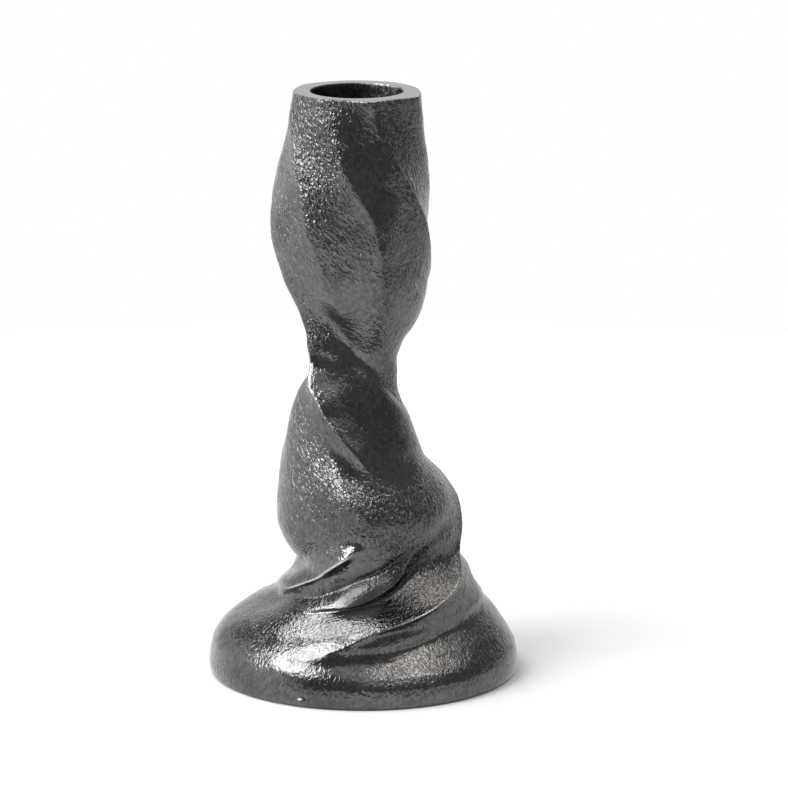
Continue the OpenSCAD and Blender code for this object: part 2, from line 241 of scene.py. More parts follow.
# The ridges and creases that spill over the foot, the other way round
FOOT_FOLDS = (
    Fold(44, 26, 0.05, (
        (0.12, 182, 0), (0.14, 196, 0.15), (0.155, 206, 0.3), (0.17, 217, 0.5),
        (0.188, 231, 0.7), (0.208, 244, 0.78), (0.226, 254, 0.7), (0.242, 261, 0.5),
        (0.255, 265, 0.2), (0.27, 268, 0))),
    Fold(6, 6, 0.2, (
        (0.145, 199, 0), (0.16, 210, 0.08), (0.188, 231, 0.14), (0.208, 244, 0.14),
        (0.226, 254, 0.14), (0.242, 261, 0.1), (0.255, 265, 0))),
    Fold(30, 24, 0.3, (
        (0.14, 150, 0), (0.16, 168, -0.25), (0.175, 182, -0.6), (0.187, 192, -0.65),
        (0.2, 202, -0.4), (0.215, 216, -0.25), (0.23, 232, -0.2), (0.25, 246, -0.12),
        (0.275, 258, 0))),
    Fold(38, 26, 0.5, (
        (0.085, 186, 0), (0.105, 188, -0.5), (0.12, 191, -1.1), (0.135, 197, -1),
        (0.15, 207, -0.45), (0.165, 220, 0))),
    Fold(10, 14, 0.2, (
        (0.14, 218, 0), (0.158, 235, -0.2), (0.169, 243, -0.3), (0.182, 252, -0.32),
        (0.195, 264, -0.32), (0.212, 280, -0.28), (0.23, 292, -0.25), (0.244, 299, -0.15),
        (0.265, 308, 0))),
    Fold(38, 12, 0.06, (
        (0.125, 225, 0), (0.143, 240, 0.3), (0.15, 254, 0.5), (0.16, 264, 0.6),
        (0.172, 272, 0.65), (0.185, 280, 0.65), (0.2, 288, 0.6), (0.217, 294, 0.45),
        (0.235, 300, 0.25), (0.255, 305, 0))),
    Fold(24, 26, 0.3, (
        (0.125, 238, 0), (0.14, 252, -0.35), (0.148, 263, -0.5), (0.158, 272, -0.55),
        (0.172, 281, -0.55), (0.187, 290, -0.5), (0.207, 303, -0.4), (0.23, 315, -0.35),
        (0.25, 329, -0.3), (0.28, 345, -0.22), (0.32, 362, 0))),
    Fold(46, 54, 0.05, (
        (0.065, 248, 0), (0.083, 256, 0.25), (0.095, 260, 0.55), (0.108, 265, 0.9),
        (0.118, 270, 1.15), (0.127, 276, 1.5), (0.135, 283, 1.6), (0.143, 291, 1.55),
        (0.152, 301, 1.4), (0.163, 312, 1.2), (0.178, 325, 1), (0.194, 339, 0.8),
        (0.218, 352, 0.6), (0.245, 361, 0.55), (0.275, 368, 0.5), (0.31, 375, 0.45),
        (0.34, 381, 0.4), (0.375, 389, 0.25), (0.41, 396, 0.1), (0.45, 402, 0))),
    Fold(8, 9, 0.06, (
        (0.08, 254, 0), (0.1, 262, 0.12), (0.118, 270, 0.18), (0.135, 283, 0.22),
        (0.152, 301, 0.25), (0.178, 325, 0.25), (0.218, 352, 0.25), (0.275, 368, 0.25),
        (0.34, 381, 0.2), (0.4, 394, 0))),
    Fold(32, 60, 0.5, (
        (0.03, 285, 0), (0.045, 285, -0.25), (0.06, 286, -0.65), (0.07, 288, -0.9),
        (0.08, 292, -1), (0.09, 300, -0.9), (0.1, 314, -0.7), (0.112, 330, -0.45),
        (0.132, 346, 0))),
    Fold(50, 60, 0.8, (
        (0.075, 302, 0), (0.09, 304, -0.25), (0.103, 308, -0.45), (0.115, 318, -0.4),
        (0.13, 334, -0.2), (0.15, 350, 0))),
    Fold(40, 14, 0.1, (
        (0.13, -14, 0), (0.16, 0, 0.2), (0.19, 14, 0.35), (0.22, 28, 0.35), (0.25, 40, 0.2),
        (0.28, 50, 0))),
    Fold(50, 12, 0.05, (
        (0.085, 30, 0), (0.11, 48, 0.3), (0.14, 70, 0.6), (0.175, 94, 0.75), (0.21, 114, 0.75),
        (0.245, 130, 0.6), (0.28, 142, 0.3), (0.31, 150, 0))),
    Fold(50, 12, 0.06, (
        (0.09, 80, 0), (0.12, 104, 0.25), (0.15, 126, 0.45), (0.18, 144, 0.55), (0.21, 157, 0.45),
        (0.24, 168, 0.25), (0.27, 176, 0))),
)


@dataclass(frozen=True)
class Wave:
    """One faint wave of the hand-worked pattern in the skin.

    Attributes:
        x, y, z: waves per metre along each axis.
        depth: from trough to crest, in millimetres.
        start: where the wave starts, in degrees.
    """

    x: float
    y: float
    z: float
    depth: float
    start: float = 0.0


WAVES = (
    Wave(45, 30, 70, 0.07), Wave(-80, 25, 110, 0.06, 40), Wave(110, -60, 60, 0.06, 90),
    Wave(-60, 130, 150, 0.05, 150), Wave(170, 90, 120, 0.045, 200), Wave(-150, -120, 190, 0.04, 300),
)


@dataclass(frozen=True)
class CrestBand:
    """A band along one fold's crest where the skin's colour changes: bright crests with painted
    highlight, or painted shade in creases.

    Attributes:
        fold: the fold that the band follows.
        low, high: height shares that the band lies between.
        strength: how far the finish changes at the crest, 0 to 1.
        width: from the crest to the band's edge, in millimetres.
        fade: height share over which the band fades at either end.
    """

    fold: Fold
    low: float
    high: float
    strength: float
    width: float
    fade: float = 0.012

    def share(self, q: np.ndarray, angle: np.ndarray, radius: np.ndarray) -> np.ndarray:
        """Work out the change over the grid, which falls in a straight line from the crest.

        Args:
            q: height shares, shape (rows, 1).
            angle: angles in degrees, shape (rows, columns).
            radius: radius of the skin in metres, shape (rows, columns).

        Returns:
            The change, 0 to 1, shape (rows, columns).
        """
        off = np.radians(off_crest(self.fold.path, q, angle))
        away = np.abs(off) * radius / (self.width * MM)
        ends = np.clip(np.minimum(q - self.low, self.high - q) / self.fade, 0.0, 1.0)
        return self.strength * ends * np.clip(1.0 - away, 0.0, 1.0)


# Crests where handling has gone through the blackening to the metal, painted bright also as painted
# highlight along each crest
WORN_AND_HIGHLIT_CRESTS = (
    CrestBand(FOOT_FOLDS[0], 0.15, 0.245, 1.0, 0.9),
    CrestBand(FOOT_FOLDS[5], 0.138, 0.158, 0.8, 0.8),
    CrestBand(FOOT_FOLDS[7], 0.128, 0.2, 0.6, 0.8),
    CrestBand(SWEEP_FOLDS[0], 0.42, 0.57, 0.5, 0.5),
)

# Creases painted darker: painted shade in the valleys
SHADED_CREASES = (
    CrestBand(FOOT_FOLDS[6], 0.14, 0.27, 0.7, 3.5),
    CrestBand(FOOT_FOLDS[4], 0.155, 0.25, 0.6, 6.0),
)

# Lean of the mesh's columns, which keeps them along the sharpest crests: height share, degrees
LEAN: Stations = (
    (0, 20), (0.07, 30), (0.085, 40), (0.105, 50), (0.125, 65), (0.145, 84), (0.165, 103),
    (0.185, 124), (0.21, 139), (0.24, 146), (0.27, 152), (0.31, 157), (0.33, 155), (0.36, 151),
    (0.385, 145), (0.415, 134), (0.44, 124), (0.465, 114), (0.49, 104), (0.515, 89), (0.55, 77),
    (0.6, 71), (0.68, 65), (0.755, 61), (0.8, 55), (0.845, 43), (0.895, 31), (0.94, 17), (1, 0),
)


# Node trees

class Nodes:
    """Adds nodes to one node tree and links them."""

    def __init__(self, tree: bpy.types.NodeTree) -> None:
        """Keep the tree that the nodes go into.

        Args:
            tree: the node tree of a material or of the world.
        """
        self.tree = tree

    def node(self, kind: str, **values: object) -> bpy.types.Node:
        """Add a node and set its properties.

        Args:
            kind: the node's type name without its ShaderNode prefix.
            **values: properties to set on the node.

        Returns:
            The new node.
        """
        new = self.tree.nodes.new("ShaderNode" + kind)
        for key, value in values.items():
            setattr(new, key, value)
        return new

    def feed(self, value: Feed, target: Socket) -> None:
        """Link an input to a socket, or set it to a number, a vector or an opaque colour.

        Args:
            value: what the input gets.
            target: the input.
        """
        if isinstance(value, Socket):
            self.tree.links.new(value, target)
        elif target.type == "RGBA":
            target.default_value = (*value, 1.0)
        else:
            target.default_value = value

    def math(self, kind: str, first: Feed, *others: Feed) -> Socket:
        """Join values from left to right, two at a time.

        Args:
            kind: the operation, such as MULTIPLY.
            first: the first value, as a socket or a number.
            *others: the values that follow it.

        Returns:
            The joined value.
        """
        total = first
        for value in others:
            node = self.node("Math", operation=kind)
            self.feed(total, node.inputs[0])
            self.feed(value, node.inputs[1])
            total = node.outputs["Value"]
        return total

    def compare(self, kind: str, vector: Socket, other: Feed) -> Socket:
        """Compare two vectors.

        Args:
            kind: DISTANCE between two points, or DOT_PRODUCT of two directions.
            vector: the first vector.
            other: the second.

        Returns:
            The distance or the product.
        """
        node = self.node("VectorMath", operation=kind)
        self.feed(vector, node.inputs[0])
        self.feed(other, node.inputs[1])
        return node.outputs["Value"]

    def spread(self, value: Socket, low: float, high: float,
               to_low: float, to_high: float, ramp: str = "LINEAR") -> Socket:
        """Map a range onto another, held at both ends.

        Args:
            value: the value to map.
            low, high: ends of its range.
            to_low, to_high: what the ends become.
            ramp: the course between the ends, LINEAR or SMOOTHSTEP.

        Returns:
            The mapped value.
        """
        mapping = self.node("MapRange", interpolation_type=ramp)
        self.feed(value, mapping.inputs["Value"])
        for key, number in zip(("From Min", "From Max", "To Min", "To Max"),
                               (low, high, to_low, to_high)):
            mapping.inputs[key].default_value = number
        return mapping.outputs["Result"]


class Shading(Nodes):
    """Builds one material round its Principled surface."""

    def __init__(self, name: str) -> None:
        """Start the material.

        Args:
            name: the material's name.
        """
        self.material = bpy.data.materials.new(name)
        self.material.use_nodes = True
        super().__init__(self.material.node_tree)
        self.surface = self.tree.nodes["Principled BSDF"]
        self.place = self.node("TexCoord").outputs["Object"]

    def dress(self, values: dict[str, Feed]) -> bpy.types.Material:
        """Feed the surface's inputs.

        Args:
            values: what each input gets, by the input's name.

        Returns:
            The material.
        """
        for key, value in values.items():
            self.feed(value, self.surface.inputs[key])
        return self.material

    def axis(self, name: str) -> Socket:
        """Read one axis of the Object coordinates.

        Args:
            name: X, Y or Z.

        Returns:
            The coordinate in metres.
        """
        parts = self.node("SeparateXYZ")
        self.feed(self.place, parts.inputs["Vector"])
        return parts.outputs[name]

    def attribute(self, name: str) -> Socket:
        """One of the attributes that the mesh keeps on its points."""
        return self.node("Attribute", attribute_name=name).outputs["Fac"]

    def scaled(self, scale: tuple[float, float, float], vector: Socket | None = None) -> Socket:
        """Scale coordinates apart on each axis.

        Args:
            scale: what each axis is multiplied by.
            vector: the coordinates, or None for Object coordinates.

        Returns:
            The scaled coordinates.
        """
        mapping = self.node("Mapping")
        self.feed(scale, mapping.inputs["Scale"])
        self.feed(vector or self.place, mapping.inputs["Vector"])
        return mapping.outputs["Vector"]

    def noise(self, scale: float, detail: float, rough: float, vector: Socket | None = None,
              distortion: float = 0.0) -> Socket:
        """Add a noise texture.

        Args:
            scale: cells per metre.
            detail: octaves.
            rough: how strongly the finer octaves show.
            vector: coordinates, or None for Object coordinates.
            distortion: how far the cells are pulled out of shape.

        Returns:
            The noise's factor, about 0.5 on average.
        """
        texture = self.node("TexNoise")
        for key, value in (("Vector", vector or self.place), ("Scale", scale), ("Detail", detail),
                           ("Roughness", rough), ("Distortion", distortion)):
            self.feed(value, texture.inputs[key])
        return texture.outputs["Fac"]

    def cells(self, scale: float) -> Socket:
        """Add smooth round cells.

        Args:
            scale: cells per metre.

        Returns:
            The distance from the nearest cell's middle.
        """
        texture = self.node("TexVoronoi", feature="SMOOTH_F1")
        self.feed(scale, texture.inputs["Scale"])
        self.feed(self.place, texture.inputs["Vector"])
        return texture.outputs["Distance"]

    def blend(self, share: Socket, first: Feed, second: Feed) -> Socket:
        """Mix two colours.

        Args:
            share: share of the second colour.
            first: the first colour, as a socket or as linear RGB.
            second: the second colour.

        Returns:
            The mixed colour.
        """
        mix = self.node("Mix", data_type="RGBA")
        for key, value in (("Factor", share), ("A", first), ("B", second)):
            self.feed(value, mix.inputs[key])
        return mix.outputs["Result"]

    def bump(self, height: Socket, depth: Feed, strength: Feed, below: Socket | None = None) -> Socket:
        """Add a bump.

        Args:
            height: the height from 0 to 1.
            depth: what a height of 1 stands for, in metres.
            strength: share of the bump that shows.
            below: the normal of a bump beneath this one, or None.

        Returns:
            The bumped normal.
        """
        node = self.node("Bump")
        for key, value in (("Height", height), ("Distance", depth), ("Strength", strength)):
            self.feed(value, node.inputs[key])
        if below is not None:
            self.feed(below, node.inputs["Normal"])
        return node.outputs["Normal"]


# Finishes

@dataclass(frozen=True)
class Patch:
    """A round patch of the skin where the finish changes.

    Attributes:
        x, y, z: the patch's middle, in millimetres.
        radius: how far the patch reaches, in millimetres.
        grain: depth of the grain in the patch, as a share of its depth on the open skin.
    """

    x: float
    y: float
    z: float
    radius: float
    grain: float = 0.3

    def ease(self, s: Shading, core: float, inside: float, outside: float) -> Socket:
        """Ease from a value inside the patch to another outside it.

        Args:
            s: the material's helper.
            core: share of the radius out to which the inside value holds.
            inside: the value inside.
            outside: the value outside.

        Returns:
            The eased value.
        """
        away = s.compare("DISTANCE", s.place, (self.x * MM, self.y * MM, self.z * MM))
        return s.spread(away, core * self.radius * MM, self.radius * MM, inside, outside, "SMOOTHSTEP")


# Patches where burnishing has worn the grain down
SMOOTH_PATCHES = (
    Patch(-1, -17, 144, 8), Patch(1, -18, 134, 9), Patch(4, -19, 123, 9),
    Patch(8, -18, 112, 7), Patch(-4, -15, 98, 12), Patch(0, -10, 84, 11, 0.4),
    Patch(5, -12, 72, 12, 0.4), Patch(10, -14, 60, 12), Patch(-9, -8, 80, 9, 0.25),
    Patch(-5, -12, 70, 9, 0.25), Patch(-2, -17, 61, 9, 0.25), Patch(-15, -36, 10, 15, 0.6),
    Patch(-6, -36, 12, 12, 0.6), Patch(-18, -28, 18, 10, 0.6), Patch(-4, -26, 26, 9, 0.5),
    Patch(4, -26, 29, 9, 0.7), Patch(-14, -24, 30, 9, 0.6), Patch(-2, -24, 34, 8),
)

# Patches where the sand of the mould has left a coarser grain
COARSE_PATCHES = (
    Patch(-12, -11, 140, 20, 1.7), Patch(-14, -6, 122, 16, 1.35),
    Patch(13, -8, 126, 16, 1.6), Patch(14, -6, 106, 14, 1.4),
)


@dataclass(frozen=True)
class PaintedShadePatch:
    """Painted shade: a dark, matt patch on the concave face of one small fold under the shoulder.

    Attributes:
        patch: where it lies.
        colour: its linear RGB in the middle.
        metal: how much of the metal still shows, 0 to 1.
        roughness: its roughness in the middle.
    """

    patch: Patch = Patch(-1.0, -26.2, 26.2, 8.5)
    colour: Colour = (0.045, 0.045, 0.046)
    metal: float = 0.5
    roughness: float = 0.25

    def share(self, s: Shading) -> Socket:
        """How much painted shade there is, from 1 in the middle to 0 outside."""
        return self.patch.ease(s, core=0.3, inside=1.0, outside=0.0)


@dataclass(frozen=True)
class BlackenedSkin:
    """The cast skin: blackened metal with a wrinkled grain, pinholes and burnished patches.

    Attributes:
        name: the material's name.
        dark, light: colours that the mottling runs between.
        mottle: sums of the patches and the grain at which the mottling is dark and light.
        bare_and_highlight: colour of the crests where the blackening has gone through to the metal,
            also painted highlight.
        painted_crease_shade: colour of the painted shade in the creases.
        roughness: the smoothest and the roughest skin.
        rough_patches: values of the patches at which the skin is roughest and smoothest.
        patches_per_metre: cells of the broad patches.
        wrinkles_per_metre: cells of the grain across the folds.
        wrinkle_length: how far the grain is drawn out along the folds.
        wrinkle_depth: depth of the grain in metres.
        stem_twist, stem_heights: degrees that the folds turn up the stem, between two heights.
        foot_twist, foot_heights: degrees that they turn back over the foot, between two heights.
        lines_per_metre: fine lines across the folds.
        line_length: how far the lines are drawn out along the folds.
        line_depth: their depth in metres.
        sand_per_metre, sand_depth: cells and depth of the finest grain.
        pinholes_per_metre: cells that hold a pinhole each.
        pinhole_edge: distances from a cell's middle at which its pinhole ends and the skin starts.
        pinhole_depth: depth of the pinholes in metres.
        foot_grain, grain_heights: share of the grain on the foot, and where it gives way.
        painted_fold_shade: the painted shade on one small fold, a dark, matt patch.
    """

    name: str = "blackened_cast_skin"
    dark: Colour = (0.084, 0.084, 0.086)
    light: Colour = (0.148, 0.146, 0.143)
    mottle: tuple[float, float] = (0.82, 1.18)
    bare_and_highlight: Colour = (0.62, 0.61, 0.59)
    painted_crease_shade: Colour = (0.032, 0.032, 0.033)
    roughness: tuple[float, float] = (0.08, 0.16)
    rough_patches: tuple[float, float] = (0.3, 0.7)
    patches_per_metre: float = 60.0
    wrinkles_per_metre: float = 1200.0
    wrinkle_length: float = 1.5
    wrinkle_depth: float = 0.0005
    stem_twist: float = 110.0
    stem_heights: tuple[float, float] = (0.05, 0.15)
    foot_twist: float = 127.0
    foot_heights: tuple[float, float] = (0.01, 0.05)
    lines_per_metre: float = 1300.0
    line_length: float = 9.0
    line_depth: float = 0.00003
    sand_per_metre: float = 3000.0
    sand_depth: float = 0.00005
    pinholes_per_metre: float = 330.0
    pinhole_edge: tuple[float, float] = (0.05, 0.14)
    pinhole_depth: float = 0.0002
    foot_grain: float = 0.42
    grain_heights: tuple[float, float] = (0.024, 0.036)
    painted_fold_shade: PaintedShadePatch = PaintedShadePatch()

    def along_folds(self, s: Shading, foot: float, length: float) -> Socket:
        """Untwist the Object coordinates, so that the folds run along the Z axis.

        Args:
            s: the material's helper.
            foot: degrees that the folds turn back over the foot, or 0 to leave the foot straight.
            length: how far the texture is drawn out along the folds.

        Returns:
            The untwisted coordinates.
        """
        height = s.axis("Z")
        lean = s.math(
            "ADD",
            s.spread(height, *self.stem_heights, 0.0, math.radians(self.stem_twist)),
            s.spread(height, *self.foot_heights, math.radians(foot), 0.0),
        )
        turned = s.node("VectorRotate", rotation_type="Z_AXIS")
        s.feed(s.place, turned.inputs["Vector"])
        s.feed(lean, turned.inputs["Angle"])
        return s.scaled((1.0, 1.0, 1.0 / length), turned.outputs["Vector"])

    def grain_left(self, s: Shading) -> Socket:
        """Work out the share of the grain that is left, least in the smooth patches.

        Args:
            s: the material's helper.

        Returns:
            The share, 1 on the open skin.
        """
        patches = [
            patch.ease(s, core=0.55, inside=patch.grain, outside=1.0) for patch in SMOOTH_PATCHES
        ]
        foot = s.spread(s.axis("Z"), *self.grain_heights, self.foot_grain, 1.0)
        return s.math("MULTIPLY", s.math("MINIMUM", *patches), foot)

    def grain_depth(self, s: Shading) -> Socket:
        """Work out the depth of the wrinkled grain, which is deeper in the coarse patches.

        Args:
            s: the material's helper.

        Returns:
            The depth in metres.
        """
        depth = self.wrinkle_depth
        patches = [
            patch.ease(s, core=0.4, inside=patch.grain * depth, outside=depth)
            for patch in COARSE_PATCHES
        ]
        return s.math("MAXIMUM", *patches)

    def colour(self, s: Shading, patches: Socket, grain: Socket, painted_shade_share: Socket) -> Socket:
        """Mottle the skin, and lay over it the painted shade in the creases, the bright crests with
        their painted highlight and the painted shade on one small fold.

        Args:
            s: the material's helper.
            patches: the broad patches.
            grain: the wrinkled grain.
            painted_shade_share: share of the painted shade on the small fold.

        Returns:
            The colour.
        """
        mottle = s.spread(s.math("ADD", patches, grain), *self.mottle, 0.0, 1.0)
        skin = s.blend(mottle, self.dark, self.light)
        # Painted shade: the creases are painted darker
        crease_shaded = s.blend(s.attribute("hollow"), skin, self.painted_crease_shade)
        # Painted highlight: the crests are painted bright, as metal showing through and as highlight
        worn_and_highlit = s.blend(s.attribute("wear_and_highlight"), crease_shaded, self.bare_and_highlight)
        return s.blend(painted_shade_share, worn_and_highlit, self.painted_fold_shade.colour)

    def relief(self, s: Shading, grain: Socket) -> Socket:
        """Lay the bumps of the grain, the lines, the sand and the pinholes over each other.

        Args:
            s: the material's helper.
            grain: the wrinkled grain.

        Returns:
            The bumped normal.
        """
        left = self.grain_left(s)
        wrinkles = s.bump(grain, self.grain_depth(s), left)
        lines = s.noise(self.lines_per_metre, detail=2.0, rough=0.5,
                        vector=self.along_folds(s, self.foot_twist, self.line_length))
        drawn = s.bump(lines, self.line_depth, strength=1.0, below=wrinkles)
        fine = s.noise(self.sand_per_metre, detail=2.0, rough=0.6)
        sand = s.bump(fine, self.sand_depth, left, drawn)
        holes = s.spread(s.cells(self.pinholes_per_metre), *self.pinhole_edge, 0.0, 1.0)
        return s.bump(holes, self.pinhole_depth, left, sand)

    def make(self) -> bpy.types.Material:
        """Build the material.

        Returns:
            The material.
        """
        s = Shading(self.name)
        patches = s.noise(self.patches_per_metre, detail=3.0, rough=0.55)
        grain = s.noise(self.wrinkles_per_metre, detail=1.5, rough=0.45,
                        vector=self.along_folds(s, 0.0, self.wrinkle_length), distortion=0.7)
        # Painted shade: a dark, matt patch on one small fold under the shoulder
        painted_shade_share = self.painted_fold_shade.share(s)
        smooth, rough = self.roughness
        return s.dress({
            "Base Color": self.colour(s, patches, grain, painted_shade_share),
            "Metallic": s.spread(painted_shade_share, 0.0, 1.0, 1.0, self.painted_fold_shade.metal),
            "Roughness": s.math(
                "MAXIMUM",
                s.spread(patches, *self.rough_patches, rough, smooth),
                s.spread(painted_shade_share, 0.0, 1.0, 0.0, self.painted_fold_shade.roughness),
            ),
            "Normal": self.relief(s, grain),
        })


@dataclass(frozen=True)
class GroundRim:
    """The rim's flat face, ground bright from front to back and then blackened thinly.

    Attributes:
        name: the material's name.
        colour, roughness: the finish between the lines.
        lines_per_metre: grinding lines from left to right.
        squeeze: scale of the lines along their run, below 1 to draw them out.
        depth: depth of the lines in metres.
    """

    name: str = "ground_rim"
    colour: Colour = (0.38, 0.376, 0.37)
    roughness: float = 0.42
    lines_per_metre: float = 1500.0
    squeeze: float = 0.15
    depth: float = 0.00004

    def make(self) -> bpy.types.Material:
        """Build the material.

        Returns:
            The material.
        """
        s = Shading(self.name)
        lines = s.noise(self.lines_per_metre, detail=2.0, rough=0.5,
                        vector=s.scaled((1.0, self.squeeze, 1.0)))
        return s.dress({
            "Base Color": self.colour,
            "Metallic": 1.0,
            "Roughness": self.roughness,
            "Normal": s.bump(lines, self.depth, strength=0.4),
        })


@dataclass(frozen=True)
class RawSocket:
    """The socket's wall, left as cast and black, with painted light on its right side, broken up by
    the grain.

    Attributes:
        name: the material's name.
        dark, light: colours of the black wall and of the painted light.
        roughness: its roughness.
        grain_per_metre: cells of the cast grain.
        squeeze: scale of the grain down the wall, below 1 to draw it out.
        painted_light_grain: values of the grain at which the black stays and the painted light is
            full.
        painted_light_x: X at which the painted light starts and is full, in metres.
        depth: depth of the grain in metres.
    """

    name: str = "raw_cast_socket"
    dark: Colour = (0.06, 0.06, 0.06)
    light: Colour = (0.42, 0.41, 0.4)
    roughness: float = 0.36
    grain_per_metre: float = 700.0
    squeeze: float = 0.5
    painted_light_grain: tuple[float, float] = (0.42, 0.58)
    painted_light_x: tuple[float, float] = (-0.002, 0.008)
    depth: float = 0.0005

    def make(self) -> bpy.types.Material:
        """Build the material.

        Returns:
            The material.
        """
        s = Shading(self.name)
        grain = s.noise(self.grain_per_metre, detail=3.0, rough=0.6,
                        vector=s.scaled((1.0, 1.0, self.squeeze)))
        # Painted light: the right side of the socket's wall is painted lighter, where light falls into
        # the bore
        painted_light_grain = s.math("MULTIPLY", s.spread(grain, *self.painted_light_grain, 0.1, 1.0),
                        s.spread(s.axis("X"), *self.painted_light_x, 0.0, 1.0))
        return s.dress({
            "Base Color": s.blend(painted_light_grain, self.dark, self.light),
            "Metallic": 1.0,
            "Roughness": self.roughness,
            "Normal": s.bump(grain, self.depth, strength=0.9),
        })


@dataclass(frozen=True)
class NeedledFelt:
    """Dense black felt with short matted fibres.

    Attributes:
        name: the material's name.
        dark, light: colours between and on the fibres.
        fibres_per_metre: cells of the matted fibres.
        depth: their depth in metres.
    """

    name: str = "needled_felt"
    dark: Colour = (0.02, 0.02, 0.022)
    light: Colour = (0.06, 0.06, 0.064)
    fibres_per_metre: float = 2200.0
    depth: float = 0.0003

    def make(self) -> bpy.types.Material:
        """Build the material.

        Returns:
            The material.
        """
        s = Shading(self.name)
        fibres = s.noise(self.fibres_per_metre, detail=5.0, rough=0.7)
        return s.dress({
            "Base Color": s.blend(fibres, self.dark, self.light),
            "Roughness": 0.95,
            "Sheen Weight": 0.3,
            "Normal": s.bump(fibres, self.depth, strength=0.8),
        })


@dataclass(frozen=True)
class AdhesiveFilm:
    """A thin, slightly yellow pressed film.

    Attributes:
        name: the material's name.
        colour: linear RGB.
        dents_per_metre: cells of the pressing.
        depth: their depth in metres.
    """

    name: str = "adhesive_film"
    colour: Colour = (0.62, 0.56, 0.42)
    dents_per_metre: float = 500.0
    depth: float = 0.00005

    def make(self) -> bpy.types.Material:
        """Build the material.

        Returns:
            The material.
        """
        s = Shading(self.name)
        dents = s.noise(self.dents_per_metre, detail=2.0, rough=0.5)
        return s.dress({
            "Base Color": self.colour,
            "Roughness": 0.45,
            "Normal": s.bump(dents, self.depth, strength=0.5),
        })


# Meshes

def ring_mesh(name: str, rings: np.ndarray, finish_of_row: np.ndarray,
              shares: dict[str, np.ndarray]) -> bpy.types.Object:
    """Join stacked rings of points into one closed skin, with a fan at each end.

    The rings run from the middle of the underside, out and up over the skin, and down into the
    socket, so that each quad's corners turn anticlockwise seen from outside.

    Args:
        name: the object's name.
        rings: points, shape (rows, columns, 3); the first and last rows shrink to a point.
        finish_of_row: material index of the band above each row, shape (rows - 1,).
        shares: attributes to keep on the points, each with its name, shape (rows, columns).

    Returns:
        The object, linked to the scene.
    """
    rows, columns, _ = rings.shape
    inner = rings[1:-1].reshape(-1, 3)
    points = np.concatenate([inner, rings[:1, 0], rings[-1:, 0]])
    first, last = len(inner), len(inner) + 1
    j, i = np.meshgrid(np.arange(rows - 3), np.arange(columns), indexing="ij")
    a = j * columns + i
    b = j * columns + (i + 1) % columns
    quads = np.stack([a, b, b + columns, a + columns], -1).reshape(-1, 4)
    around = np.arange(columns)
    after = (around + 1) % columns
    top = (rows - 3) * columns
    low_fan = np.stack([after, around, np.full(columns, first)], -1)
    high_fan = np.stack([top + around, top + after, np.full(columns, last)], -1)
    mesh = bpy.data.meshes.new(name)
    mesh.from_pydata(points, [], quads.tolist() + low_fan.tolist() + high_fan.tolist())
    index = np.concatenate([
        np.repeat(finish_of_row[1:-1], columns),
        np.full(columns, finish_of_row[0]),
        np.full(columns, finish_of_row[-1]),
    ])
    mesh.polygons.foreach_set("material_index", index.astype(np.int32))
    mesh.polygons.foreach_set("use_smooth", np.ones(len(mesh.polygons), bool))
    for key, share in shares.items():
        kept = mesh.attributes.new(key, "FLOAT", "POINT")
        kept.data.foreach_set("value", np.append(share[1:-1].ravel(), (0.0, 0.0)).astype(np.float32))
    mesh.update()
    piece = bpy.data.objects.new(name, mesh)
    bpy.context.scene.collection.objects.link(piece)
    return piece


class Band(Enum):
    """The finish of each band of the casting."""

    SKIN = 0
    RIM = 1
    SOCKET = 2


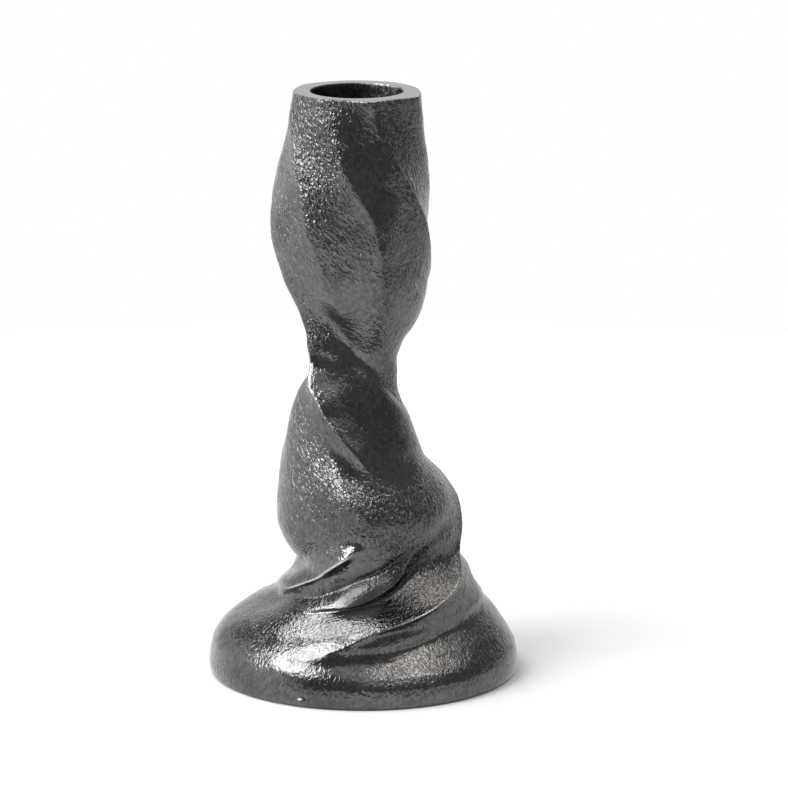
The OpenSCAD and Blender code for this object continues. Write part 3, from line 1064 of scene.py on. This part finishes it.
@dataclass
class Casting:
    """The one-piece casting, from the recess in its foot to the floor of its socket.

    Attributes:
        low, top: heights of the sole and of the rim's flat face.
        foot_radius: radius of the foot at its widest.
        socket_x, socket_radius, socket_depth: the socket's axis along X, its bore and its depth.
        rim_wall: mean wall between the socket and the skin at the rim.
        fold_depth: height of a full fold.
        edge_radius, mouth_radius: rounding of the rim's outer edge and of the socket's mouth.
        recess_radius, recess_top: radius and height of the felt's recess.
        columns: points round each ring.
        lower_rows, upper_rows: rings of the skin below and above row_change.
        row_change: height share where the rings' spacing changes.
        wave_start, wave_fade: height shares where the waves start and over which they grow.
        wave_end: height share below the rim over which the waves fade out.
        nub_height, nub_angle: place of the nub, the angle in degrees.
        nub_radius, nub_rise: its half height and how far it stands out.
        nub_squeeze: its half height over its half width.
        folds: the folds that the skin has.
    """

    low: float
    top: float
    foot_radius: float
    socket_x: float
    socket_radius: float
    socket_depth: float
    rim_wall: float = 4.0 * MM
    fold_depth: float = 3.0 * MM
    edge_radius: float = 0.45 * MM
    mouth_radius: float = 0.4 * MM
    recess_radius: float = 33.9 * MM
    recess_top: float = 2.2 * MM
    columns: int = 336
    lower_rows: int = 128
    upper_rows: int = 106
    row_change: float = 0.3
    wave_start: float = 0.02
    wave_fade: float = 0.05
    wave_end: float = 0.03
    nub_height: float = 1.3 * MM
    nub_angle: float = 247.0
    nub_radius: float = 0.9 * MM
    nub_rise: float = 0.7 * MM
    nub_squeeze: float = 0.6
    folds: tuple[Fold, ...] = STEM_FOLDS + SWEEP_FOLDS + SHOULDER_FOLDS + FOOT_FOLDS

    def profile(self) -> Stations:
        """Turn the profile's shares into metres, by the foot's radius below and the rim's above.

        Returns:
            The stations: height share, offset and radius.
        """
        rim_radius = self.socket_radius + self.rim_wall
        foot = tuple((q, x * self.foot_radius, r * self.foot_radius) for q, x, r in FOOT)
        stem = tuple((q, x * rim_radius, r * rim_radius) for q, x, r in STEM)
        return foot + stem

    def skin(self, q: np.ndarray, angle: np.ndarray) -> np.ndarray:
        """Work out the skin's radius: the profile's plus the rises of folds, waves and nub.

        Args:
            q: height shares, shape (rows, 1).
            angle: angles in degrees, shape (rows, columns).

        Returns:
            The radius from the leaning axis, shape (rows, columns).
        """
        radius = along(self.profile(), q, RADIUS) + np.zeros_like(angle)
        for fold in self.folds:
            radius = radius + self.fold_depth * fold.rise(q, angle)
        return radius + self.unevenness(q, angle, radius) + self.nub(q, angle)

    def unevenness(self, q: np.ndarray, angle: np.ndarray, radius: np.ndarray) -> np.ndarray:
        """Sum the faint waves on the smooth skin, which fade out at the foot's edge and rim.

        Each wave adds half its depth times the sine of its turns along x, y and z.

        Args:
            q: height shares, shape (rows, 1).
            angle: angles in degrees, shape (rows, columns).
            radius: radius of the smooth skin, shape (rows, columns).

        Returns:
            The height in metres, shape (rows, columns).
        """
        t = np.radians(angle)
        x, y = radius * np.cos(t), radius * np.sin(t)
        z = q * (self.top - self.low)
        height = np.zeros_like(radius)
        for wave in WAVES:
            phase = 2.0 * math.pi * (wave.x * x + wave.y * y + wave.z * z)
            height = height + 0.5 * wave.depth * MM * np.sin(phase + math.radians(wave.start))
        foot_fade = np.clip((q - self.wave_start) / self.wave_fade, 0.0, 1.0)
        return height * foot_fade * np.clip((1.0 - q) / self.wave_end, 0.0, 1.0)

    def nub(self, q: np.ndarray, angle: np.ndarray) -> np.ndarray:
        """Work out the small casting nub low on the front of the foot.

        It rises by 1 - a^2 of its full rise, with a the distance from its middle over its radius
        and the distance along the foot's edge squeezed, so that its outline is an oval.

        Args:
            q: height shares, shape (rows, 1).
            angle: angles in degrees, shape (rows, columns).

        Returns:
            The rise in metres, shape (rows, columns).
        """
        z = q * (self.top - self.low) - self.nub_height
        along_edge = self.foot_radius * np.radians(angle - self.nub_angle)
        away = np.sqrt(z * z + (self.nub_squeeze * along_edge) ** 2) / self.nub_radius
        return self.nub_rise * np.clip(1.0 - away * away, 0.0, 1.0)

    def skin_shares(self) -> np.ndarray:
        """Space the skin's rows evenly, closer over the foot than over the stem.

        Returns:
            The height shares.
        """
        low = np.linspace(0.0, self.row_change, self.lower_rows, endpoint=False)
        edge = 1.0 - self.edge_radius / (self.top - self.low)
        return np.concatenate([low, np.linspace(self.row_change, edge, self.upper_rows)])

    @staticmethod
    def rings(angle: np.ndarray, x: float | np.ndarray, radius: float | np.ndarray,
              z: float | np.ndarray) -> np.ndarray:
        """Work out level rings of points, each at its radius and angle from an upright axis at x.

        Args:
            angle: angles in degrees, shape (1 or rows, columns).
            x: offset of each ring's axis along X, one value or shape (rows, 1).
            radius: radii, one value or shape (rows, 1 or columns).
            z: heights, one value or shape (rows, 1).

        Returns:
            The points, shape (rows, columns, 3).
        """
        x, radius, z, t = np.broadcast_arrays(x, radius, z, np.radians(angle))
        return np.stack([x + radius * np.cos(t), radius * np.sin(t), z], -1)

    def underside(self, angle: np.ndarray, radius: np.ndarray) -> np.ndarray:
        """Work out the rings from the middle of the recess out towards the foot's edge.

        The recess is flat out to its radius and drops straight to the sole, whose rings pass by
        shares from the recess's radius to the skin's.

        Args:
            angle: angles of the skin's lowest row in degrees, shape (1, columns).
            radius: radii of that row, shape (1, columns).

        Returns:
            The rings, shape (rows, columns, 3).
        """
        edge = self.recess_radius
        recess = edge * as_rows(0.0, 0.3, 0.6, 0.9, 1.0)
        sole = edge + (radius - edge) * as_rows(0.0, 0.25, 0.6, 0.85)
        return np.concatenate([
            self.rings(angle, 0.0, recess, self.recess_top),
            self.rings(angle, 0.0, sole, self.low),
        ])

    def rim(self, angle: np.ndarray, radius: np.ndarray, x: float) -> tuple[np.ndarray, np.ndarray]:
        """Work out the quarter round at the rim's edge, and the flat rim in to the mouth.

        Over the quarter round the radius shrinks by 1 - cos t and the height grows by sin t, both
        times the edge's radius. Over the rim the radius and the axis pass by shares from the
        skin's to the mouth's.

        Args:
            angle: angles of the skin's highest row in degrees, shape (1, columns).
            radius: radii of that row, shape (1, columns).
            x: offset of that row along X.

        Returns:
            The rings of both, each of shape (rows, columns, 3).
        """
        t = np.radians(as_rows(18.0, 36.0, 54.0, 72.0, 90.0))
        bend = radius - self.edge_radius * (1.0 - np.cos(t))
        share = as_rows(*np.linspace(0.12, 1.0, 9))
        start = radius - self.edge_radius
        mouth = self.socket_radius + self.mouth_radius
        return (
            self.rings(angle, x, bend, self.top - self.edge_radius * (1.0 - np.sin(t))),
            self.rings(angle, x + (self.socket_x - x) * share, start + (mouth - start) * share,
                       self.top),
        )

    def socket(self, angle: np.ndarray) -> np.ndarray:
        """Work out the rings over the mouth's round lip, down the wall and in over the floor.

        Over the lip the radius shrinks by sin t and the height by 1 - cos t, both times the
        mouth's radius. Down the wall the radius holds, and over the floor it shrinks to 0.

        Args:
            angle: angles of the skin's highest row in degrees, shape (1, columns).

        Returns:
            The rings, shape (rows, columns, 3).
        """
        t = np.radians(as_rows(22.5, 45.0, 67.5, 90.0))
        lip = self.socket_radius + self.mouth_radius * (1.0 - np.sin(t))
        floor = self.top - self.socket_depth
        wall = as_rows(*np.linspace(self.top - 2 * self.mouth_radius, floor, 14))
        ground = self.socket_radius * as_rows(0.97, 0.8, 0.5, 0.2, 0.0)
        return np.concatenate([
            self.rings(angle, self.socket_x, lip, self.top - self.mouth_radius * (1.0 - np.cos(t))),
            self.rings(angle, self.socket_x, self.socket_radius, wall),
            self.rings(angle, self.socket_x, ground, floor),
        ])

    def bands(self) -> tuple[np.ndarray, np.ndarray, dict[str, np.ndarray]]:
        """Work out all rings of the casting, the finish of each band and the skin's attributes.

        Returns:
            The rings, shape (rows, columns, 3), the finish index of each band, and the shares of
            crests with wearing and painted highlight and of creases with painted shade, shape (rows,
            columns).
        """
        shares = as_rows(*self.skin_shares())
        angle = along(LEAN, shares, ANGLE) + np.arange(self.columns) * 360.0 / self.columns
        radius = self.skin(shares, angle)
        offset = along(self.profile(), shares, OFFSET)
        skin = self.rings(angle, offset, radius, self.low + shares * (self.top - self.low))
        under = self.underside(angle[:1], radius[:1])
        edge, flat = self.rim(angle[-1:], radius[-1:], offset[-1, 0])
        inside = self.socket(angle[-1:])
        rings = np.concatenate([under, skin, edge, flat, inside])

        finish = np.repeat(
            [Band.SKIN.value, Band.RIM.value, Band.SOCKET.value],
            [len(under) + len(skin) + len(edge), len(flat) + 1, len(inside) - 1],
        )[1:]
        kept = {}
        rows = slice(len(under), len(under) + len(skin))
        # The crests' share is bright wearing with painted highlight, the creases' share is painted
        # shade
        for name, crests in (("wear_and_highlight", WORN_AND_HIGHLIT_CRESTS), ("hollow", SHADED_CREASES)):
            kept[name] = np.zeros(rings.shape[:2])
            kept[name][rows] = np.max([band.share(shares, angle, radius) for band in crests], axis=0)
        return rings, finish, kept

    def build(self) -> bpy.types.Object:
        """Build the casting, dress it and stand it for its CAD node.

        Returns:
            The casting's object.
        """
        rings, finish, shares = self.bands()
        piece = ring_mesh("folded_casting", rings, finish, shares)
        for dressing in (BlackenedSkin(), GroundRim(), RawSocket()):
            piece.data.materials.append(dressing.make())
        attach(piece, "root")
        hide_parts("cast_body")
        return piece


@dataclass
class Underlay:
    """The felt disc and the film that holds it, carried over from the frame.

    Attributes:
        felt, film: their objects.
    """

    felt: bpy.types.Object
    film: bpy.types.Object

    def dress(self) -> None:
        """Give both discs their finishes."""
        for node, finish in ((self.felt, NeedledFelt()), (self.film, AdhesiveFilm())):
            material = finish.make()
            for slot in node.material_slots:
                slot.material = material


# Studio

def direction(azimuth: float, elevation: float) -> tuple[float, float, float]:
    """Unit vector by azimuth from the camera's side, rising to the right, and by elevation."""
    a, e = math.radians(azimuth), math.radians(elevation)
    return math.sin(a) * math.cos(e), -math.cos(a) * math.cos(e), math.sin(e)


@dataclass(frozen=True)
class Lamp:
    """A soft rectangular lamp that faces the middle of the holder.

    Attributes:
        name: the lamp's name.
        azimuth: degrees from the camera's side, rising to the right.
        elevation: degrees above the floor.
        distance: metres from the holder.
        size: width and height in metres.
        power: watts.
        colour: linear RGB.
        aim: height that the lamp faces, in metres.
    """

    name: str
    azimuth: float
    elevation: float
    distance: float
    size: tuple[float, float]
    power: float
    colour: Colour = (1.0, 1.0, 1.0)
    aim: float = 0.07

    def hang(self) -> None:
        """Hang the lamp in the scene."""
        data = bpy.data.lights.new(self.name, "AREA")
        data.shape = "RECTANGLE"
        data.size, data.size_y = self.size
        data.energy = self.power
        data.color = self.colour
        x, y, z = direction(self.azimuth, self.elevation)
        lamp = bpy.data.objects.new(self.name, data)
        lamp.location = (x * self.distance, y * self.distance, z * self.distance + self.aim)
        lamp.rotation_euler = (math.radians(90.0 - self.elevation), 0.0, math.radians(self.azimuth))
        bpy.context.scene.collection.objects.link(lamp)


LAMPS = (
    Lamp("top_softbox", -130.0, 62.0, 1.4, (0.7, 0.7), 9.0),
    Lamp("warm_panel", 66.0, 62.0, 1.4, (0.6, 0.4), 2.6, (1.0, 0.93, 0.86)),
    Lamp("high_warm_panel", 150.0, 68.0, 1.3, (0.6, 0.6), 1.8, (1.0, 0.91, 0.82)),
)


@dataclass(frozen=True)
class Ramp:
    """An eased change of the room's glow along one axis of the direction that is looked in.

    Attributes:
        axis: X to the right, Y away from the camera, Z up.
        low, high: where the change starts and ends, -1 to 1.
        start, end: the glow at either end.
    """

    axis: str
    low: float
    high: float
    start: float
    end: float

    def ease(self, room: Nodes, way: bpy.types.Node) -> Socket:
        """Build the change in the room's nodes.

        Args:
            room: the room's nodes.
            way: the node that parts the axes of the direction.

        Returns:
            The glow.
        """
        return room.spread(way.outputs[self.axis], self.low, self.high, self.start, self.end,
                           "SMOOTHSTEP")


# The pale surfaces round the holder, each the product of its ramps
SCREENS = {
    "backdrop": (Ramp("Y", 0.6, 0.9, 0.0, 1.0), Ramp("Z", 0.3, 0.6, 1.0, 0.0)),
    "left_screen": (Ramp("X", -0.8, -0.5, 1.3, 0.0), Ramp("Y", -0.8, -0.4, 0.0, 1.0),
                    Ramp("Z", 0.35, 0.7, 1.0, 0.3)),
    "right_screen": (Ramp("X", 0.5, 0.75, 0.0, 0.7), Ramp("Y", -0.05, 0.25, 0.0, 1.0),
                     Ramp("Z", 0.0, 0.25, 1.0, 0.15)),
    "ceiling": (Ramp("Z", 0.55, 0.8, 0.0, 1.0), Ramp("X", -0.5, -0.1, 0.0, 1.0)),
    "horizon": (Ramp("Z", -0.32, 0.05, 0.8, 0.0), Ramp("X", -0.1, 0.5, 1.0, 0.1)),
}


@dataclass(frozen=True)
class Key:
    """The broad soft key light from the left front, which glows in the room's wall.

    Attributes:
        way: azimuth and elevation of its middle, in degrees.
        glow: its strength in the middle.
        cone: cosines of the angles from the middle at which it ends and is full.
        right: azimuth past which nothing of it is left.
        fade: sine of the angle over which it fades towards that azimuth.
        foot: its lower edge.
    """

    way: tuple[float, float] = (-60.0, 42.0)
    glow: float = 10.0
    cone: tuple[float, float] = (0.87, 0.985)
    right: float = -28.0
    fade: float = 0.14
    foot: Ramp = Ramp("Z", 0.26, 0.46, 0.0, 1.0)

    def ease(self, room: Nodes, look: Socket, way: bpy.types.Node) -> Socket:
        """Build the key's glow in the room's nodes.

        Args:
            room: the room's nodes.
            look: the direction that is looked in.
            way: the node that parts the direction's axes.

        Returns:
            The glow.
        """
        near = room.compare("DOT_PRODUCT", look, direction(*self.way))
        past = room.compare("DOT_PRODUCT", look, direction(self.right + 90.0, 0.0))
        return room.math(
            "MULTIPLY",
            room.spread(near, *self.cone, 0.0, self.glow, "SMOOTHSTEP"),
            room.spread(past, -self.fade, 0.0, 1.0, 0.0, "SMOOTHSTEP"),
            self.foot.ease(room, way),
        )


@dataclass
class Studio:
    """A pale floor, a pale room with soft lamps, and the photograph's camera.

    Attributes:
        eye: the camera's place in metres.
        pitch: degrees that the camera looks down.
        lens: focal length in millimetres on a sensor 36 mm wide.
        floor_radius, floor_corners: size and corners of the round floor.
        floor_colour: grey of the floor.
        floor_glow: what the floor adds in the skin's reflections, at its left and its right, lower on
            the right as painted shade.
        floor_change: X between which that glow changes, in metres.
        floor_share: share of that glow in a reflection of the floor.
        room_glow: strength of the dim room between the screens.
        key: the key light.
    """

    eye: tuple[float, float, float] = (0.0079, -1.180, 0.3496)
    pitch: float = 13.237
    lens: float = 218.3
    floor_radius: float = 0.42
    floor_corners: int = 96
    floor_colour: float = 0.63
    floor_glow: tuple[float, float] = (1.17, 0.65)
    floor_change: tuple[float, float] = (-0.02, 0.08)
    floor_share: float = 0.72
    room_glow: float = 0.26
    key: Key = Key()

    def camera(self) -> None:
        """Set the camera at the photograph's viewing angle."""
        data = bpy.data.cameras.new("camera")
        data.sensor_width = 36.0
        data.lens = self.lens
        data.clip_start = 0.05
        data.clip_end = 20.0
        eye = bpy.data.objects.new("camera", data)
        eye.location = self.eye
        eye.rotation_euler = (math.radians(90.0 - self.pitch), 0.0, 0.0)
        bpy.context.scene.collection.objects.link(eye)
        bpy.context.scene.camera = eye

    def floor_finish(self) -> bpy.types.Material:
        """Finish the floor plain and matt, with a glow that only the skin's reflections show.

        Returns:
            The material.
        """
        s = Shading("pale_floor")
        s.dress({
            "Base Color": (self.floor_colour,) * 3,
            "Roughness": 1.0,
            "Specular IOR Level": 0.0,
        })
        glow = s.node("Emission")
        # Painted reflection: a glow seen only in the skin's reflections, dimmer to the right as
        # painted shade
        s.feed(s.spread(s.axis("X"), *self.floor_change, *self.floor_glow), glow.inputs["Strength"])
        ray = s.node("LightPath").outputs["Is Glossy Ray"]
        mix = s.node("MixShader")
        s.feed(s.math("MULTIPLY", ray, self.floor_share), mix.inputs[0])
        s.feed(s.surface.outputs["BSDF"], mix.inputs[1])
        s.feed(glow.outputs["Emission"], mix.inputs[2])
        s.feed(mix.outputs["Shader"], s.tree.nodes["Material Output"].inputs["Surface"])
        return s.material

    def floor(self) -> None:
        """Lay a round pale floor, which is white in the studio's light but for the shadow."""
        turn = np.radians(np.arange(self.floor_corners) * 360.0 / self.floor_corners)
        corners = np.stack([np.cos(turn), np.sin(turn), 0 * turn], -1) * self.floor_radius
        mesh = bpy.data.meshes.new("floor")
        mesh.from_pydata(corners, [], [list(range(self.floor_corners))])
        mesh.materials.append(self.floor_finish())
        floor = bpy.data.objects.new("floor", mesh)
        bpy.context.scene.collection.objects.link(floor)

    def room(self) -> None:
        """Make the world white to the camera, and a dim room with pale screens to the rest.

        The backdrop stands behind the holder, with a screen on either side. The ceiling glows
        over the middle and the right, the floor fades into the dim walls ahead, and the key
        glows from the left front. Each direction shows the brightest of what lies in it.
        """
        world = bpy.data.worlds.new("studio")
        world.use_nodes = True
        room = Nodes(world.node_tree)
        look = room.node("TexCoord").outputs["Generated"]
        way = room.node("SeparateXYZ")
        room.feed(look, way.inputs["Vector"])
        screens = [
            room.math("MULTIPLY", *(ramp.ease(room, way) for ramp in ramps))
            for ramps in SCREENS.values()
        ]
        key = self.key.ease(room, look, way)
        ray = room.node("LightPath").outputs["Is Camera Ray"]
        back = room.tree.nodes["Background"]
        room.feed((1.0, 1.0, 1.0), back.inputs["Color"])
        room.feed(room.math("MAXIMUM", key, *screens, ray, self.room_glow), back.inputs["Strength"])
        bpy.context.scene.world = world

    def build(self) -> None:
        """Set the camera, the floor, the room and the lamps."""
        self.camera()
        self.floor()
        self.room()
        for lamp in LAMPS:
            lamp.hang()
        bpy.context.scene.view_settings.view_transform = "Standard"


def main() -> None:
    """Build the holder's pieces in order, then the studio."""
    logging.basicConfig(level=logging.INFO, format="%(name)s: %(message)s")
    low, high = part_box("cast_body")
    mount = next(m for m in frame["record"]["mounts"] if m["name"] == "candle_socket")
    chamfer = high.z - mount["pos_m"][2]
    casting = Casting(
        low=low.z,
        top=high.z,
        foot_radius=39.5 * MM,
        socket_x=mount["pos_m"][0],
        socket_radius=mount["dims"]["r_mm"] * MM,
        socket_depth=mount["dims"]["length_mm"] * MM + chamfer,
    ).build()
    log.info("%s: %d faces", casting.name, len(casting.data.polygons))
    Underlay(frame["nodes"]["felt_pad"], frame["nodes"]["adhesive_film"]).dress()
    log.info("felt and film dressed")
    Studio().build()


if __name__ == "__main__":
    main()
